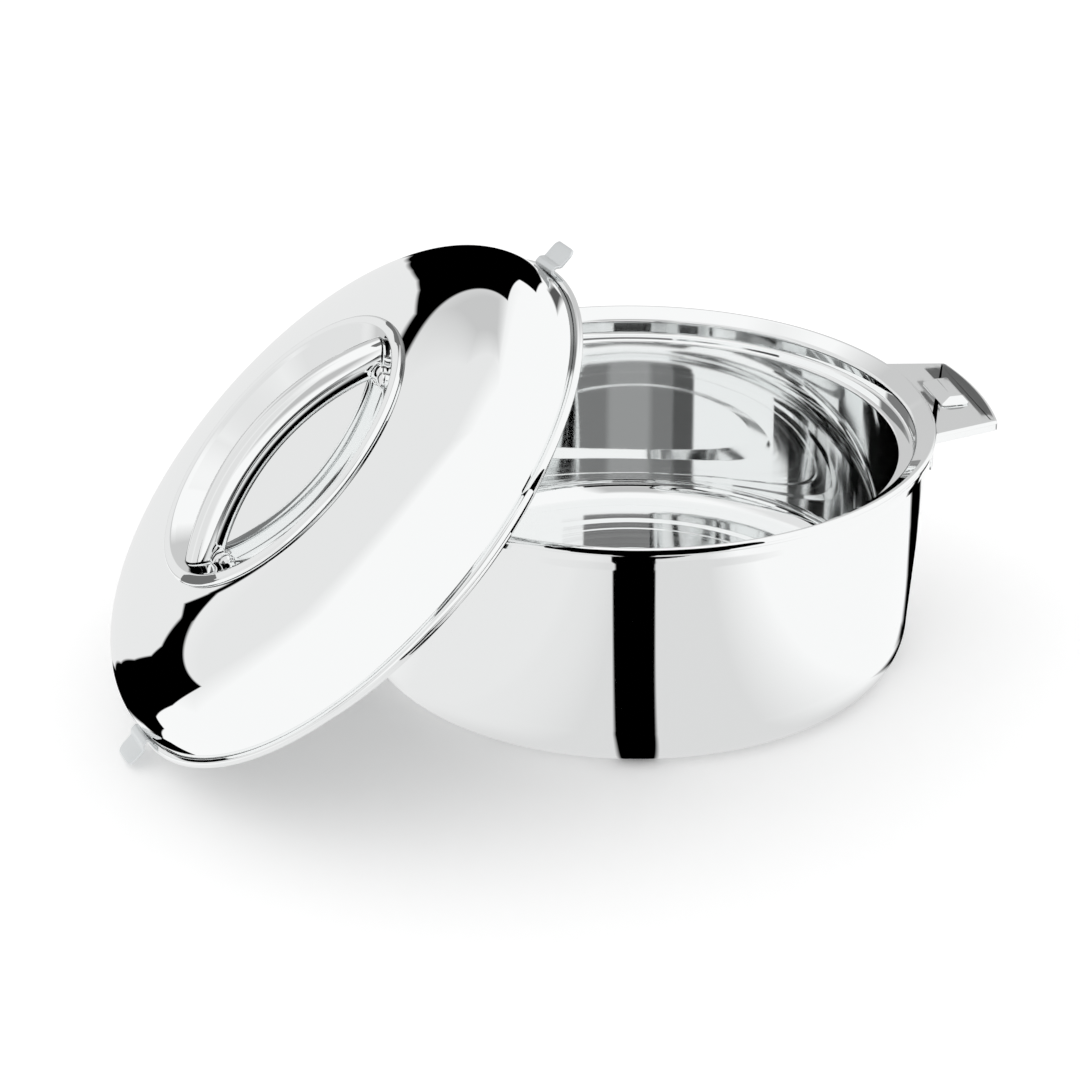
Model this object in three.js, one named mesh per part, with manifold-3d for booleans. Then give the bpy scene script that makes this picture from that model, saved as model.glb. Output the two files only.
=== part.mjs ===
// An insulated chapati casserole: a double-walled steel bowl with two handles, and its
// double-walled lid, taken off and stood on edge against the bowl's left handle.
// Millimetres, +Z up. The origin is the centre of the bowl's base, on the table, and the
// handles lie along X.
import * as THREE from "three";
import { mergeVertices } from "three/addons/utils/BufferGeometryUtils.js";
import Module from "manifold-3d";

const wasm = await Module();
wasm.setup();

// Facets and steps of the round shapes
const facets = 48;
const plugFacets = 24;
const bendSteps = 2;
const crownSteps = 7;
const linerSteps = 5;
const tubeSides = 12;
const tubeSteps = 16;

// Sheet, foam and clearances
const sheet = 0.8;
const seatGap = 0.3;
const lining = sheet + seatGap;
const overrun = 3;
const easedShare = 0.5;
const mergeTolerance = 0.0003;

// The sizes that drive the rest: the lip that the lid covers, and the handles' length
const lipRadius = 120;
const lipHeight = 99.1;
const handleLength = 26.3;

// Bowl: the lip that flares up and out, and its hem
const flareWidth = 8;
const flareRise = 3.2;
const lipRound = 1.5;

// Bowl: the outer shell, set back under the lip and narrower at its foot
const lipOverhang = 3;
const shellTaper = 5.6;
const shellDrop = 10.1;
const bodyRadius = lipRadius - lipOverhang;
const footRadius = bodyRadius - shellTaper;
const bodyHeight = lipHeight - shellDrop;
const footFilletOut = 13.5;
const footFilletUp = 17.4;
const footSteps = 4;
const neckFlare = 0.9;
const neckRise = 3.5;
const foamHead = 3;

// Bowl: the inner pot, its wall inside the shell's, and the step for the lid's ring
const wallSpace = 11.8;
const potTaper = 3.2;
const stepWidth = 6.2;
const ledgeDrop = 10.4;
const wallRadius = bodyRadius - wallSpace;
const potFootRadius = wallRadius - potTaper;
const stepRadius = wallRadius + stepWidth;
const ledgeHeight = lipHeight - ledgeDrop;
const ledgeRound = 1.2;
const stepRound = 1.2;
const potFillet = 9;
const floorHeight = 17;
const discMargin = 24;
const discRadius = potFootRadius - discMargin;
const discDrop = 1;
const discSlope = 3;

// The plugs that close the two foam filling holes
const basePlugRadius = 9;
const lidPlugRadius = 7;
const plugFlange = 2;
const plugThickness = 1.5;

// Handles: a pressed plate with its rim turned down, and a foot welded to the shell
const handleDrop = 3.6;
const handleReach = lipRadius + handleLength;
const handleTop = lipHeight - handleDrop;
const handleTail = 30;
const handleRootAngle = 18.5;
const handleTipAngle = 12.24;
const plateThickness = 1.2;
const rimDepth = 4;
const weldFootAngle = 27;
const weldFootHeight = 7;

// Catches: a pressed block welded on each handle, its four sides sloping
const catchStartShare = 0.21;
const catchEndShare = 0.65;
const catchWidth = 25;
const catchHeight = 3;
const catchInnerSlope = 4.5;
const catchOuterSlope = 2;
const catchSideSlope = 3;

// Lid: the liner, whose ring drops into the bowl's step and whose bead covers the bowl's lip
const beadRadius = lipRadius;
const beadHeight = 1.8;
const beadRound = 1.2;
const flangeDrop = 1.3;
const plugRingPlay = 1.4;
const plugRingRadius = stepRadius - plugRingPlay;
const plugRingDepth = 7.7;
const plugRingWidth = 3.4;
const roofHeight = 22.3;
const roofFlatShare = 0.5;

// Lid: the dome, an arch that is fuller than an ellipse, its foot inside the bead
const hemFold = 2.73;
const domeRadius = beadRadius - hemFold;
const domeFoot = 1.85;
const domeRise = 35.9;
const domeSideShare = 2 / 5.2;
const domeTopShare = 2 / 2.2;

// Lid: the dish pressed for the fingers, with its rolled ring
const ringRadius = 63.5;
const ringWidth = 5.6;
const ringHeight = 1.6;
const ringRound = 1.3;
const dishHoleGap = 0.55;
const dishRadius = 46;
const dishHeight = 29.5;
const dishRound = 2.5;

// Lid: the grab bar, a bent tube
const barRadius = 6;
const barWall = 1;
const barReach = 52;
const barEndHeight = 33.5;
const barMidHeight = 47.5;

// Lid: the two ears, bent strips over the handles
const earWidth = 18;
const earThickness = 1;
const earTop = 5.1;
const earShelf = 2.2;
const earDrop = 1.5;
const earTipLength = 8;

// Where the lid leans: its dome faces left and up
const lidTilt = 43.95;
const lidHeading = 179.34;
const lidSpin = 9;
const lidSideways = 32.84;

// Colours
const mirrorSteel = { color: 0xdfe3e4, roughness: 0.08, metalness: 1 };
const satinSteel = { color: 0xc9cdcf, roughness: 0.25, metalness: 1 };
const foamColour = { color: 0xe6d9a8, roughness: 0.9, metalness: 0 };
const plugColour = { color: 0x2b2d2e, roughness: 0.6, metalness: 0 };

const at = (radius, height) => new THREE.Vector2(radius, height);

// A bend from one point to another, a quarter of an ellipse that touches both legs of the corner.
function bend(start, corner, end, steps = bendSteps) {
  const points = [];
  for (let i = 0; i <= steps; i += 1) {
    const turn = (i / steps) * Math.PI / 2;
    const fromStart = start.clone().sub(corner).multiplyScalar(1 - Math.sin(turn));
    const fromEnd = end.clone().sub(corner).multiplyScalar(1 - Math.cos(turn));
    points.push(corner.clone().add(fromStart).add(fromEnd));
  }
  return points;
}

// The arch radius * sin(t)^side, foot + rise * cos(t)^top, from a given radius out to its foot.
function crown(radius, foot, rise, fromRadius, steps = crownSteps) {
  const first = Math.asin((fromRadius / radius) ** (1 / domeSideShare));
  const points = [];
  for (let i = 0; i <= steps; i += 1) {
    const turn = first + (i / steps) * (Math.PI / 2 - first);
    const height = foot + rise * Math.max(Math.cos(turn), 0) ** domeTopShare;
    points.push(at(radius * Math.sin(turn) ** domeSideShare, height));
  }
  points[points.length - 1].y = foot;
  return points;
}

// The height of that arch at a radius.
function crownHeight(radius, foot, rise, r) {
  const sine = (r / radius) ** (1 / domeSideShare);
  return foot + rise * Math.sqrt(1 - sine * sine) ** domeTopShare;
}

// A path moved sideways, to its left where the distance is positive, with mitred corners.
function beside(path, distance) {
  const last = path.length - 1;
  return path.map((point, i) => {
    const before = path[Math.max(i - 1, 0)];
    const after = path[Math.min(i + 1, last)];
    const arriving = (i > 0 ? point.clone().sub(before) : after.clone().sub(point)).normalize();
    const leaving = (i < last ? after.clone().sub(point) : arriving.clone()).normalize();
    const mean = arriving.clone().add(leaving).normalize();
    const normal = at(-mean.y, mean.x);
    const stretch = distance / (normal.x * -arriving.y + normal.y * arriving.x);
    return point.clone().add(normal.multiplyScalar(stretch));
  });
}

// The closed outline of a sheet whose one face is the path.
const sheetLoop = (path, thickness) => [...path, ...beside(path, thickness).reverse()];

// A closed outline turned round the Z axis.
function revolve(loop, count = facets) {
  const points = THREE.ShapeUtils.area(loop) > 0 ? [...loop] : [...loop].reverse();
  if (points[0].x > 0 || points[points.length - 1].x > 0) {
    points.push(points[0].clone());
  }
  return new THREE.LatheGeometry(points, count).rotateX(Math.PI / 2);
}

// An outline in the plane of X and Y, drawn up from one height to another.
function prism(points, bottom, top) {
  const options = { depth: top - bottom, bevelEnabled: false };
  return new THREE.ExtrudeGeometry(new THREE.Shape(points), options).translate(0, 0, bottom);
}

function toSolid(geometry) {
  const bare = geometry.clone();
  bare.deleteAttribute("normal");
  bare.deleteAttribute("uv");
  const merged = mergeVertices(bare, mergeTolerance);
  const mesh = new wasm.Mesh({
    numProp: 3,
    vertProperties: new Float32Array(merged.attributes.position.array),
    triVerts: new Uint32Array(merged.index.array),
  });
  return new wasm.Manifold(mesh);
}

function toGeometry(solid) {
  const mesh = solid.getMesh();
  const geometry = new THREE.BufferGeometry();
  geometry.setAttribute("position", new THREE.BufferAttribute(mesh.vertProperties, 3));
  geometry.setIndex(new THREE.BufferAttribute(mesh.triVerts, 1));
  const faceted = geometry.toNonIndexed();
  faceted.computeVertexNormals();
  return faceted;
}

function piece(name, geometry, look) {
  const mesh = new THREE.Mesh(geometry, new THREE.MeshStandardMaterial(look));
  mesh.name = name;
  return mesh;
}

// Inner pot: one deep-drawn sheet with a sunk floor disc, a step for the lid's ring, and a lip
// that flares outward and is hemmed down over the shell's top edge.
const neckRadius = bodyRadius + neckFlare;
const neckHeight = bodyHeight + neckRise;
const foamTop = ledgeHeight + stepRound + foamHead;
const flareInner = lipRadius - flareWidth;
const flareFoot = lipHeight - flareRise;
const flareSlope = flareRise / (flareWidth - lipRound);
const flareAt = (radius) => flareFoot + (radius - flareInner) * flareSlope;

const potCavity = [
  at(0, floorHeight - discDrop),
  at(discRadius, floorHeight - discDrop),
  at(discRadius + discSlope, floorHeight),
  ...bend(
    at(potFootRadius - potFillet, floorHeight),
    at(potFootRadius, floorHeight),
    at(potFootRadius, floorHeight + potFillet),
    bendSteps + 1,
  ),
  at(wallRadius, ledgeHeight - ledgeRound),
  at(wallRadius + ledgeRound, ledgeHeight),
  at(stepRadius - stepRound, ledgeHeight),
  at(stepRadius, ledgeHeight + stepRound),
  at(stepRadius, foamTop),
];
const hemRadius = neckRadius + lining;
const hemBottom = handleTop + seatGap;
const potLip = [
  at(flareInner, flareFoot),
  at(lipRadius - lipRound, flareAt(lipRadius - lipRound)),
  at(lipRadius, lipHeight - lipRound * easedShare),
  at(lipRadius, lipHeight - lipRound),
  at(hemRadius, hemBottom),
];
const innerPot = piece("inner_pot", revolve(sheetLoop([...potCavity, ...potLip], -sheet)), mirrorSteel);

// Outer shell: flat base with a filling hole, round foot, tapered wall, and a small neck that
// ends under the lip.
const flareStretch = Math.hypot(1, flareSlope);
const shellTop = flareAt(neckRadius - sheet) - lining * flareStretch;
const shellBody = [
  at(basePlugRadius, 0),
  ...bend(
    at(footRadius - footFilletOut, 0),
    at(footRadius, 0),
    at(footRadius, footFilletUp),
    footSteps,
  ),
  at(bodyRadius, bodyHeight),
  at(neckRadius, neckHeight),
];
const shellPath = [...shellBody, at(neckRadius, shellTop)];
const outerShell = piece("outer_shell", revolve(sheetLoop(shellPath, sheet)), mirrorSteel);

// Plug: its head fills the hole flush with the outer face, its flange lies inside on the sheet.
// Heights run from the outer face inward.
const plugHeight = lining + plugThickness;
function plugLoop(holeRadius) {
  return [
    at(0, 0),
    at(holeRadius - seatGap, 0),
    at(holeRadius - seatGap, lining),
    at(holeRadius + plugFlange, lining),
    at(holeRadius + plugFlange, plugHeight),
    at(0, plugHeight),
  ];
}
// The pocket that the foam leaves round a plug's inside, from the axis to the sheet.
function plugPocket(holeRadius, face) {
  const pocketRadius = holeRadius + plugFlange + seatGap;
  return [
    at(0, face + plugHeight + seatGap),
    at(pocketRadius, face + plugHeight + seatGap),
    at(pocketRadius, face + lining),
  ];
}
const basePlug = piece("base_plug", revolve(plugLoop(basePlugRadius), plugFacets), plugColour);

// Bowl foam: fills the space between pot and shell.
const bowlFoamLoop = [
  ...plugPocket(basePlugRadius, 0),
  ...beside(shellBody, lining).slice(1),
  at(neckRadius - lining, foamTop),
  ...beside(potCavity, -lining).reverse(),
];
const bowlFoam = piece("bowl_foam", revolve(bowlFoamLoop), foamColour);

// A handle on the +X side.
const degrees = THREE.MathUtils.degToRad;
const onRing = (radius, angle) => at(radius * Math.cos(degrees(angle)), radius * Math.sin(degrees(angle)));
const shellFace = neckRadius + seatGap;

// The plan of the handle, its straight sides drawn in by a margin; the rings cut its ends.
function handlePlan(margin) {
  const root = onRing(lipRadius, handleRootAngle);
  const tip = onRing(handleReach, handleTipAngle);
  const along = tip.clone().sub(root).normalize();
  const inset = at(along.y, -along.x).multiplyScalar(margin);
  const back = root.clone().add(inset).addScaledVector(along, -handleTail);
  const front = tip.clone().add(inset).addScaledVector(along, overrun);
  return [back, at(back.x, -back.y), at(front.x, -front.y), front];
}
const band = (inner, outer, bottom, top) =>
  [at(inner, bottom), at(outer, bottom), at(outer, top), at(inner, top)];

function handleGeometry() {
  const rimBottom = handleTop - rimDepth;
  const full = toSolid(revolve(band(shellFace, handleReach, rimBottom, handleTop)));
  const plan = toSolid(prism(handlePlan(0), rimBottom - overrun, handleTop + overrun));
  const underside = handleTop - plateThickness;
  const hollowRing = band(
    shellFace + plateThickness, handleReach - plateThickness, rimBottom - overrun, underside);
  const hollow = toSolid(revolve(hollowRing));
  const hollowPlan = toSolid(prism(handlePlan(plateThickness), rimBottom - overrun, underside));
  const pressed = full.intersect(plan).subtract(hollow.intersect(hollowPlan));
  const footTop = handleTop - seatGap;
  const footRing = band(shellFace, shellFace + plateThickness, footTop - weldFootHeight, footTop);
  const reach = handleReach / Math.cos(degrees(weldFootAngle));
  const wedge = [at(0, 0), onRing(reach, -weldFootAngle), onRing(reach, weldFootAngle)];
  const sector = toSolid(prism(wedge, footTop - weldFootHeight - overrun, footTop + overrun));
  return toGeometry(pressed.add(toSolid(revolve(footRing)).intersect(sector)));
}

// A catch block on the +X handle, from its base rectangle up to a smaller one.
function catchGeometry() {
  const inner = lipRadius + handleLength * catchStartShare;
  const outer = lipRadius + handleLength * catchEndShare;
  const bottom = handleTop + seatGap;
  const top = handleTop + catchHeight;
  const half = catchWidth / 2;
  const topInner = inner + catchInnerSlope;
  const topOuter = outer - catchOuterSlope;
  const topHalf = half - catchSideSlope;
  return toGeometry(wasm.Manifold.hull([
    [inner, -half, bottom],
    [inner, half, bottom],
    [outer, -half, bottom],
    [outer, half, bottom],
    [topInner, -topHalf, top],
    [topInner, topHalf, top],
    [topOuter, -topHalf, top],
    [topOuter, topHalf, top],
  ]));
}

const handleShape = handleGeometry();
const catchShape = catchGeometry();
const bowl = new THREE.Group();
bowl.add(outerShell, innerPot, bowlFoam, basePlug);
for (const [side, turn] of [["right", 0], ["left", Math.PI]]) {
  const handle = piece(`handle_${side}`, handleShape, mirrorSteel);
  const block = piece(`catch_${side}`, catchShape, mirrorSteel);
  handle.rotation.z = turn;
  block.rotation.z = turn;
  bowl.add(handle, block);
}

// The lid is built about its own axis, its heights counted from the middle of its bead.

// Dish: a shallow cup in the dome's hole, its ring rolled over the hole's edge.
const cupRadius = ringRadius - ringWidth;
const domeAt = (radius) => crownHeight(domeRadius, domeFoot, domeRise, radius);
const ringSeat = domeAt(ringRadius - sheet) + seatGap;
const ringTop = ringSeat + ringHeight;
const dishCup = [
  at(0, dishHeight),
  ...bend(
    at(dishRadius - dishRound, dishHeight),
    at(dishRadius, dishHeight),
    at(dishRadius + dishRound, dishHeight + dishRound),
  ),
  at(cupRadius, ringSeat),
];
const dishRing = [
  at(cupRadius + ringRound, ringTop),
  at(ringRadius - ringRound, ringTop),
  at(ringRadius, ringTop - ringRound * easedShare),
  at(ringRadius, ringSeat),
];
const lidDish = piece("lid_dish", revolve(sheetLoop([...dishCup, ...dishRing], -sheet)), mirrorSteel);

// Dome: from the dish's hole to its foot inside the liner's hem.
const dishHole = cupRadius + lining + dishHoleGap;
const flangeTop = sheet - flangeDrop;
const domePath = [
  ...crown(domeRadius, domeFoot, domeRise, dishHole),
  at(domeRadius, flangeTop + seatGap),
];
const lidDome = piece("lid_dome", revolve(sheetLoop(domePath, -sheet)), mirrorSteel);

// Liner: its roof, the ring that drops into the bowl's step, the flange and the rolled hem.
const ringInner = plugRingRadius - plugRingWidth;
const liningArch = crown(ringInner, 0, roofHeight, ringInner * roofFlatShare, linerSteps);
liningArch[0].y = roofHeight;
const linerPath = [
  at(lidPlugRadius, roofHeight),
  ...liningArch,
  at(ringInner, sheet - plugRingDepth),
  at(ringInner + sheet, -plugRingDepth),
  at(plugRingRadius - sheet, -plugRingDepth),
  at(plugRingRadius, sheet - plugRingDepth),
  at(plugRingRadius, -flangeDrop),
  at(beadRadius - beadRound, -flangeDrop),
  at(beadRadius, beadRound - flangeDrop),
  at(beadRadius, beadHeight - beadRound),
  at(beadRadius - beadRound, beadHeight),
  at(domeRadius + seatGap, beadHeight),
];
const lidLiner = piece("lid_liner", revolve(sheetLoop(linerPath, sheet)), mirrorSteel);

const lidPlug = piece("lid_plug", revolve(plugLoop(lidPlugRadius), plugFacets), plugColour);
lidPlug.position.z = roofHeight;

// Lid foam: over the liner, under the dish and the dome.
const underDish = beside(dishCup, -lining);
underDish[underDish.length - 1].y = domeAt(cupRadius) - lining;
const lidFoamLoop = [
  ...plugPocket(lidPlugRadius, roofHeight),
  ...beside(liningArch, lining),
  at(domeRadius - lining, 0),
  ...beside(crown(domeRadius, domeFoot, domeRise, dishHole), -lining).reverse(),
  ...underDish.reverse(),
];
const lidFoam = piece("lid_foam", revolve(lidFoamLoop), foamColour);

// Grab bar: a tube bent to an arch, its two ends cut to the dish's slope.
function barGeometry() {
  const barRise = barMidHeight - barEndHeight;
  const bow = (barReach * barReach + barRise * barRise) / (2 * barRise);
  const sweep = Math.asin(barReach / bow);
  const points = [];
  for (let i = 0; i <= tubeSteps; i += 1) {
    const turn = sweep * (2 * i / tubeSteps - 1);
    points.push(new THREE.Vector3(bow * Math.sin(turn), 0, barMidHeight - bow + bow * Math.cos(turn)));
  }
  const route = new THREE.CatmullRomCurve3(points);
  const tube = (radius) => {
    const ring = new THREE.Shape();
    ring.absarc(0, 0, radius, 0, Math.PI * 2);
    const curveSegments = tubeSides / 2;
    const options = { steps: tubeSteps, curveSegments, extrudePath: route, bevelEnabled: false };
    return toSolid(new THREE.ExtrudeGeometry(ring, options));
  };
  const slope = beside(dishCup, seatGap);
  const top = slope[slope.length - 1];
  const outside = [
    at(top.x, barMidHeight + overrun),
    at(ringRadius + overrun, barMidHeight + overrun),
    at(ringRadius + overrun, 0),
    at(0, 0),
  ];
  const cutter = toSolid(revolve([...slope, ...outside]));
  return toGeometry(tube(barRadius).subtract(tube(barRadius - barWall)).subtract(cutter));
}
const grabBar = piece("grab_bar", barGeometry(), mirrorSteel);

// Ear on the +X side: a strip that stands on the hem, turns outward and steps down to its tip.
function earGeometry() {
  const rootFace = domeRadius + seatGap;
  const foot = beadHeight + seatGap;
  const shelf = rootFace + earThickness + earShelf;
  const path = [
    at(rootFace + earThickness, foot),
    at(rootFace + earThickness, earTop - earThickness),
    at(shelf, earTop - earThickness),
    at(shelf + earDrop, earTop - earThickness - earDrop),
    at(shelf + earDrop + earTipLength, earTop - earThickness - earDrop),
  ];
  const outline = new THREE.Shape(sheetLoop(path, earThickness));
  const ear = new THREE.ExtrudeGeometry(outline, { depth: earWidth, bevelEnabled: false });
  return ear.rotateX(Math.PI / 2).translate(0, earWidth / 2, 0);
}
const earShape = earGeometry();
const earLow = piece("ear_low", earShape, satinSteel);
const earHigh = piece("ear_high", earShape, satinSteel);
earHigh.rotation.z = Math.PI;

const lid = new THREE.Group();
lid.add(lidDome, lidDish, lidLiner, lidPlug, lidFoam, grabBar, earLow, earHigh);
lid.rotation.z = degrees(lidSpin);

// The lid stands on its lower ear and leans on the left handle's edge, which reaches up
// into the liner as far as its roof.
const tilt = degrees(lidTilt);
const heading = degrees(lidHeading);
const leaning = new THREE.Group();
leaning.add(lid);
leaning.rotation.set(0, tilt, heading, "ZYX");
leaning.updateMatrixWorld(true);
const lowest = new THREE.Box3().setFromObject(leaning, true).min.z;
const centreHeight = seatGap - lowest;
const edgeDepth = roofHeight - seatGap;
const rise = Math.cos(tilt) * (handleTop - centreHeight);
const away = handleReach + (rise - edgeDepth) / Math.sin(tilt);
leaning.position.set(
  away * Math.cos(heading) - lidSideways * Math.sin(heading),
  away * Math.sin(heading) + lidSideways * Math.cos(heading),
  centreHeight,
);

const casserole = new THREE.Group();
casserole.name = "insulated_casserole";
casserole.add(bowl, leaning);

export default casserole;
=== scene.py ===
"""The looks of an insulated casserole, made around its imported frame: a double-walled steel
bowl with two handles, and its lid standing on edge against the left one.

Metres, +Z up. The origin is the centre of the bowl's base and the handles lie along X.
Profiles are complex numbers, radius + height * 1j, and a lid profile counts its heights
from the middle of the lid's bead.
"""

import math

import bpy
import numpy as np
from bpy.props import FloatProperty, FloatVectorProperty, PointerProperty
from mathutils import Matrix, Vector


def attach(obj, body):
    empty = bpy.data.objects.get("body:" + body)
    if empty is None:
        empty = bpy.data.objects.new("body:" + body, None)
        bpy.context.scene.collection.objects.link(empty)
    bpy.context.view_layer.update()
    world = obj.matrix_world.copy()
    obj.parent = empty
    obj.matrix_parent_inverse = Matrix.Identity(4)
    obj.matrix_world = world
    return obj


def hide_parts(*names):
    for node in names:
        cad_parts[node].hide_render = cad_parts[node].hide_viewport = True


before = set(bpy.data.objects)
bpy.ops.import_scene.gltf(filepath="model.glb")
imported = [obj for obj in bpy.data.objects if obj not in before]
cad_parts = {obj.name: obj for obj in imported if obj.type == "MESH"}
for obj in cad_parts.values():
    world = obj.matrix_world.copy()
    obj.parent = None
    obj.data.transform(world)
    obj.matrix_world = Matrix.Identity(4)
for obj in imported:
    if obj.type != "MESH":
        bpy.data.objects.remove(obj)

bl_info = {
    "name": "Insulated casserole",
    "version": (1, 0, 0),
    "blender": (4, 5, 0),
    "location": "3D View > Sidebar > Casserole",
    "description": "Builds the steel pieces of a casserole and its studio",
    "category": "Add Mesh",
}

MM = 0.001
SHEET = 0.8 * MM

# How finely the surfaces are cut
AROUND = 256
ARC_STEP = math.radians(7.5)
LONGEST_STEP = 4 * MM
GUARD_STEP = 0.2 * MM
ON_AXIS = 1e-9

WHITE = (1, 1, 1, 1)


# Lines and profiles


def unit(value):
    """The complex number of length 1 in the same direction."""
    return value / abs(value)


def leg(start, end):
    """The points between two points: one close to either end, so that smooth shading stays
    on the bends, and the rest in equal steps."""
    length = abs(end - start)
    if length < 3 * GUARD_STEP:
        return np.empty(0, complex)
    guard = GUARD_STEP / length
    count = max(2, math.ceil(length / LONGEST_STEP) + 1)
    return start + (end - start) * np.linspace(guard, 1 - guard, count)


def rounded(*corners):
    """A line through corners (x, y, radius), in millimetres. Each inner corner becomes the
    arc of its radius that touches both legs: centre + start * exp(i * turn * share)."""
    line = [complex(x, y) * MM for x, y, _ in corners]
    bends = [np.array(line[:1])]
    for before, corner, after, (_, _, radius) in zip(line, line[1:], line[2:], corners[1:]):
        back, fore = unit(before - corner), unit(after - corner)
        half = abs(np.angle(fore / back)) / 2
        reach = radius * MM / math.tan(half)
        centre = corner + unit(back + fore) * radius * MM / math.sin(half)
        start, end = corner + back * reach - centre, corner + fore * reach - centre
        turn = np.angle(end / start)
        steps = max(2, math.ceil(abs(turn) / ARC_STEP))
        bends.append(centre + start * np.exp(1j * turn * np.linspace(0, 1, steps + 1)))
    bends.append(np.array(line[-1:]))
    parts = [bends[0]]
    for before, after in zip(bends, bends[1:]):
        parts += [leg(before[-1], after[0]), after]
    return np.concatenate(parts)


def arch(sizes, first, last, count):
    """A fuller arch than an ellipse, between two radii: r = radius * sin(t) ** side and
    z = foot + rise * cos(t) ** top, its points an equal way apart."""
    radius, foot, rise, side, top = sizes
    start, end = (math.asin(min(1.0, (r / radius) ** (1 / side))) for r in (first, last))
    turn = np.linspace(start, end, 40 * count)
    line = radius * np.sin(turn) ** side
    line = line + 1j * (foot + rise * np.clip(np.cos(turn), 0, None) ** top)
    way = np.concatenate([[0], np.cumsum(abs(np.diff(line)))])
    even = np.linspace(0, way[-1], count)
    return np.interp(even, way, line.real) + 1j * np.interp(even, way, line.imag)


def beside(line, distance):
    """The line moved to its left, each point along the normal of its two steps' mean."""
    step = unit(np.diff(line))
    heading = np.concatenate([step[:1], unit(step[:-1] + step[1:]), step[-1:]])
    return line + 1j * heading * distance


def sheet_loop(line, thickness):
    """The closed outline of a sheet whose one face is the line."""
    return np.concatenate([line, beside(line, thickness)[::-1]])


# Surfaces


def grid_faces(rows, columns, close_rows, close_columns):
    """The quads that join the neighbours of a grid of points, and its last row or column to
    the first where it is closed."""
    index = np.arange(rows * columns).reshape(rows, columns)
    if close_rows:
        index = np.vstack([index, index[:1]])
    if close_columns:
        index = np.hstack([index, index[:, :1]])
    corners = [index[:-1, :-1], index[:-1, 1:], index[1:, 1:], index[1:, :-1]]
    return np.stack(corners, -1).reshape(-1, 4)


def turned(loop, sides=AROUND):
    """A profile turned round the Z axis: x = r cos(a), y = r sin(a), z = height. A profile
    that starts and ends on the axis gets a fan of triangles at either pole."""
    angle = np.linspace(0, 2 * math.pi, sides, endpoint=False)
    on_axis = loop[0].real < ON_AXIS
    rows = loop[1:-1] if on_axis else loop
    plan = np.outer(rows.real, np.exp(1j * angle))
    height = np.repeat(rows.imag[:, None], sides, 1)
    points = np.stack([plan.real, plan.imag, height], -1).reshape(-1, 3)
    faces = [grid_faces(len(rows), sides, not on_axis, True)]
    if on_axis:
        poles = np.array([[0, 0, loop[0].imag], [0, 0, loop[-1].imag]])
        first = np.arange(sides)
        last = first + (len(rows) - 1) * sides
        low, high = len(points), len(points) + 1
        faces.append(np.stack([np.full(sides, low), np.roll(first, -1), first], -1))
        faces.append(np.stack([np.full(sides, high), last, np.roll(last, -1)], -1))
        points = np.concatenate([points, poles])
    return points, faces


def capped(grid):
    """Rows of points, each a closed outline, the first and the last with a flat face."""
    rows, columns, _ = grid.shape
    first = np.arange(columns)
    caps = np.stack([first[::-1], first + (rows - 1) * columns])
    return grid.reshape(-1, 3), [grid_faces(rows, columns, False, True), caps]


def stacked(rings, heights):
    """Closed plan outlines laid one on the other at their heights."""
    rings = np.asarray(rings)
    height = np.repeat(np.asarray(heights)[:, None], rings.shape[1], 1)
    return capped(np.stack([rings.real, rings.imag, height], -1))


def joined(*shapes):
    """Several shapes as one."""
    points, faces, count = [], [], 0
    for shape_points, shape_faces in shapes:
        points.append(shape_points)
        faces += [face + count for face in shape_faces]
        count += len(shape_points)
    return np.concatenate(points), faces


def volume(points, faces):
    """The signed volume inside the faces: positive where they point outwards."""
    total = 0.0
    for group in faces:
        first = points[group[:, 0]]
        for i in range(1, group.shape[1] - 1):
            second, third = points[group[:, i]], points[group[:, i + 1]]
            total += np.einsum("ij,ij->", first, np.cross(second, third))
    return total


def outward(points, faces):
    """The same shape with its faces pointing outwards."""
    if volume(points, faces) < 0:
        faces = [group[:, ::-1] for group in faces]
    return points, faces


def add_piece(name, shape, material, body, place=None):
    """Makes a shape a piece of the object that stands for the node of its own name. The
    attribute own_place keeps each point's place in the piece's own frame, for patterns."""
    own, faces = outward(*shape)
    matrix = np.array(place or Matrix.Identity(4))
    points = own @ matrix[:3, :3].T + matrix[:3, 3]
    corners = np.concatenate([group.ravel() for group in faces])
    sizes = np.concatenate([np.full(len(group), group.shape[1]) for group in faces])
    mesh = bpy.data.meshes.new(name)
    mesh.vertices.add(len(points))
    mesh.vertices.foreach_set("co", points.astype(np.float32).ravel())
    mesh.loops.add(len(corners))
    mesh.loops.foreach_set("vertex_index", corners.astype(np.int32))
    mesh.polygons.add(len(sizes))
    starts = np.concatenate([[0], np.cumsum(sizes)[:-1]])
    mesh.polygons.foreach_set("loop_start", starts.astype(np.int32))
    mesh.polygons.foreach_set("use_smooth", np.ones(len(sizes), bool))
    mesh.update(calc_edges=True)
    attribute = mesh.attributes.new("own_place", "FLOAT_VECTOR", "POINT")
    attribute.data.foreach_set("vector", own.astype(np.float32).ravel())
    if mesh.validate():
        raise RuntimeError(f"{name}: a face of the mesh is not valid")
    mesh.materials.append(get_material(material))
    piece = bpy.data.objects.new(name + "_surface", mesh)
    bpy.context.scene.collection.objects.link(piece)
    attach(piece, body)
    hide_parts(name)


# Properties


def length(label, about, millimetres):
    """A length that a user may change."""
    size = {"default": millimetres * MM, "min": 0.0, "unit": "LENGTH", "subtype": "DISTANCE"}
    return FloatProperty(name=label, description=about, **size)


def share(label, about, value):
    """A number from 0 to 1 that a user may change."""
    limits = {"min": 0.0, "max": 1.0, "subtype": "FACTOR"}
    return FloatProperty(name=label, description=about, default=value, **limits)


def colour(label, about, value):
    """A colour that a user may change."""
    limits = {"min": 0.0, "max": 1.0, "size": 4, "subtype": "COLOR"}
    return FloatVectorProperty(name=label, description=about, default=value, **limits)


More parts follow.
